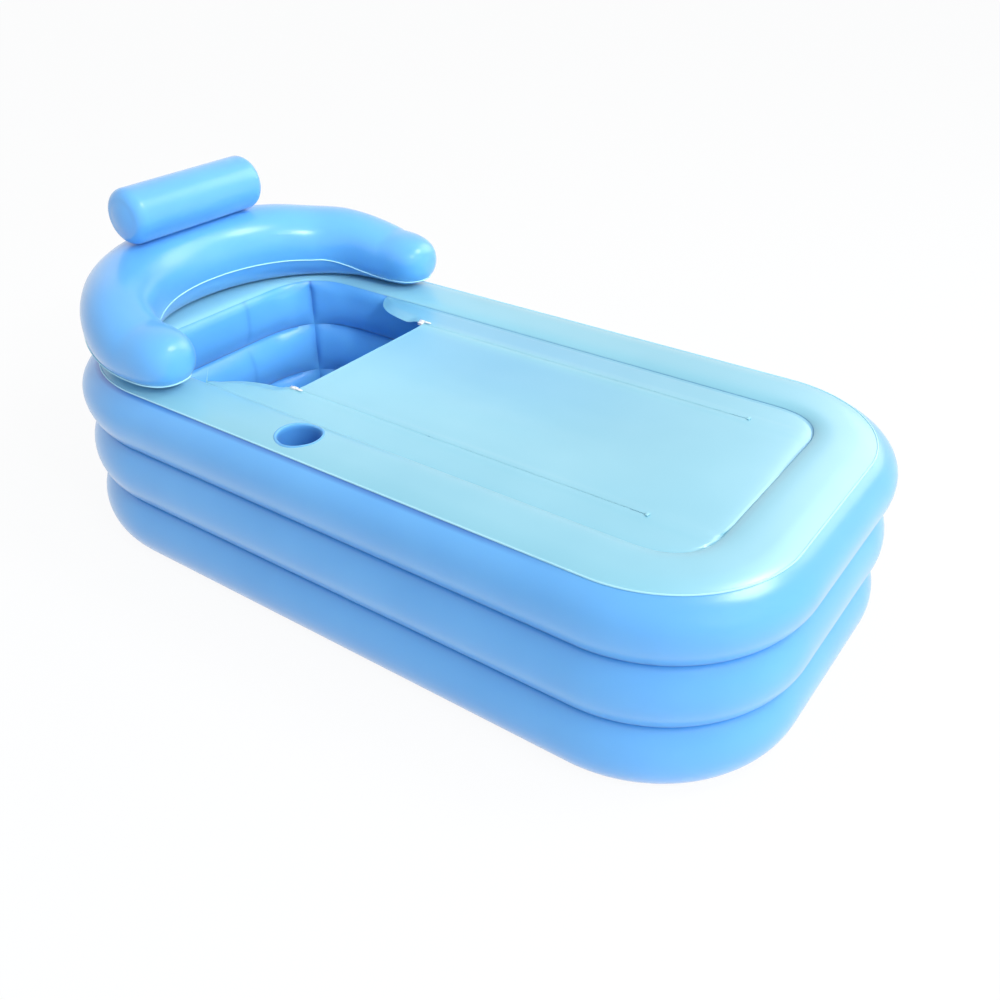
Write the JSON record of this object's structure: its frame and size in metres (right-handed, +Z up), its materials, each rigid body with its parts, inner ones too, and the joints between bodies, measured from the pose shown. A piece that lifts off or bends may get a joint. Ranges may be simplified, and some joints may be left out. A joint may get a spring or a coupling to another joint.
{
  "type": "inflatable bathtub",
  "caption": "Folding inflatable bathtub with stacked air rings, a zip-open cover, a floor cushion, a curved backrest with a headrest roll, a cup well and a floor drain.",
  "frame": {"origin": "on the floor under the middle of the overall box", "axes": "+X from the head end with the backrest to the foot end, +Z up, -Y the long side with the cup well"},
  "size_m": [1.6, 0.84, 0.64],
  "materials": {
    "blue_film": "satin PVC film",
    "cyan_film": "satin PVC film",
    "clear_bead": "welded bead",
    "white_tape": "woven tape",
    "white_plastic": "moulded",
    "valve_plastic": "moulded"
  },
  "bodies": {
    "tub": {"base_sheet": "blue_film", "bottom_ring": "blue_film", "middle_ring": "blue_film", "top_ring": "blue_film", "rim_skin": "cyan_film", "rim_seam_bead": "clear_bead", "cup_well": "blue_film", "floor_cushion": "blue_film", "backrest": "blue_film", "backrest_piping": "clear_bead", "headrest_pillow": "blue_film", "pillow_tab": "blue_film", "cover_surround": "cyan_film", "zip_tape_far_outer": "white_tape", "zip_tape_near_outer": "white_tape", "zip_stop_far": "white_plastic", "zip_stop_near": "white_plastic", "bottom_valve_base": "valve_plastic", "middle_valve_base": "valve_plastic", "top_valve_base": "valve_plastic", "cushion_valve_base": "valve_plastic", "backrest_valve_base": "valve_plastic", "pillow_valve_base": "valve_plastic", "drain_flange": "valve_plastic"},
    "cover_rear": {"cover_flap_rear": "cyan_film", "zip_tape_far_rear": "white_tape", "zip_tape_near_rear": "white_tape"},
    "cover_front": {"cover_flap_front": "cyan_film", "zip_tape_far_front": "white_tape", "zip_tape_near_front": "white_tape"},
    "slider_far": {"zip_slider_far": "white_plastic"},
    "slider_near": {"zip_slider_near": "white_plastic"},
    "pull_far": {"zip_pull_far": "white_plastic"},
    "pull_near": {"zip_pull_near": "white_plastic"},
    "bottom_valve_cap": {"bottom_valve_cap": "valve_plastic"},
    "middle_valve_cap": {"middle_valve_cap": "valve_plastic"},
    "top_valve_cap": {"top_valve_cap": "valve_plastic"},
    "cushion_valve_cap": {"cushion_valve_cap": "valve_plastic"},
    "backrest_valve_cap": {"backrest_valve_cap": "valve_plastic"},
    "pillow_valve_cap": {"pillow_valve_cap": "valve_plastic"},
    "drain_cap": {"drain_cap": "valve_plastic"}
  },
  "joints": [
    {"name": "cover_fold_back", "type": "hinge", "parent": "tub", "child": "cover_rear", "pos_m": [0.5, 0, 0.35303], "axis": [0, 1, 0], "range_deg": [0, 150]},
    {"name": "cover_half_fold", "type": "hinge", "parent": "cover_rear", "child": "cover_front", "pos_m": [0.1024, 0, 0.35303], "axis": [0, 1, 0], "range_deg": [0, 178]},
    {"name": "zip_run_far", "type": "slide", "parent": "tub", "child": "slider_far", "axis": [1, 0, 0], "range_m": [0, 0.732]},
    {"name": "pull_lift_far", "type": "hinge", "parent": "slider_far", "child": "pull_far", "pos_m": [-0.217, 0.1919, 0.35573], "axis": [0, -1, 0], "range_deg": [0, 160]},
    {"name": "zip_run_near", "type": "slide", "parent": "tub", "child": "slider_near", "axis": [1, 0, 0], "range_m": [0, 0.732]},
    {"name": "pull_lift_near", "type": "hinge", "parent": "slider_near", "child": "pull_near", "pos_m": [-0.217, -0.1919, 0.35573], "axis": [0, -1, 0], "range_deg": [0, 160]},
    {"name": "bottom_cap_open", "type": "hinge", "parent": "tub", "child": "bottom_valve_cap", "pos_m": [-0.6449, 0.35719, 0.0608], "axis": [0, 0, -1], "range_deg": [0, 120]},
    {"name": "middle_cap_open", "type": "hinge", "parent": "tub", "child": "middle_valve_cap", "pos_m": [-0.6449, 0.35719, 0.1801], "axis": [0, 0, -1], "range_deg": [0, 120]},
    {"name": "top_cap_open", "type": "hinge", "parent": "tub", "child": "top_valve_cap", "pos_m": [-0.6449, 0.35719, 0.2994], "axis": [0, 0, -1], "range_deg": [0, 120]},
    {"name": "cushion_cap_open", "type": "hinge", "parent": "tub", "child": "cushion_valve_cap", "pos_m": [0.509, -0.0125, 0.01561], "axis": [0, 0, -1], "range_deg": [0, 120]},
    {"name": "backrest_cap_open", "type": "hinge", "parent": "tub", "child": "backrest_valve_cap", "pos_m": [-0.65074, 0.32137, 0.48063], "axis": [-0.3136, 0.3594, -0.8789], "range_deg": [0, 120]},
    {"name": "pillow_cap_open", "type": "hinge", "parent": "tub", "child": "pillow_valve_cap", "pos_m": [-0.6654, 0.1765, 0.584], "axis": [0, 0, -1], "range_deg": [0, 120]},
    {"name": "drain_cap_open", "type": "hinge", "parent": "tub", "child": "drain_cap", "pos_m": [0.56, -0.028, 0.0066], "axis": [1, 0, 0], "range_deg": [0, 110]}
  ]
}
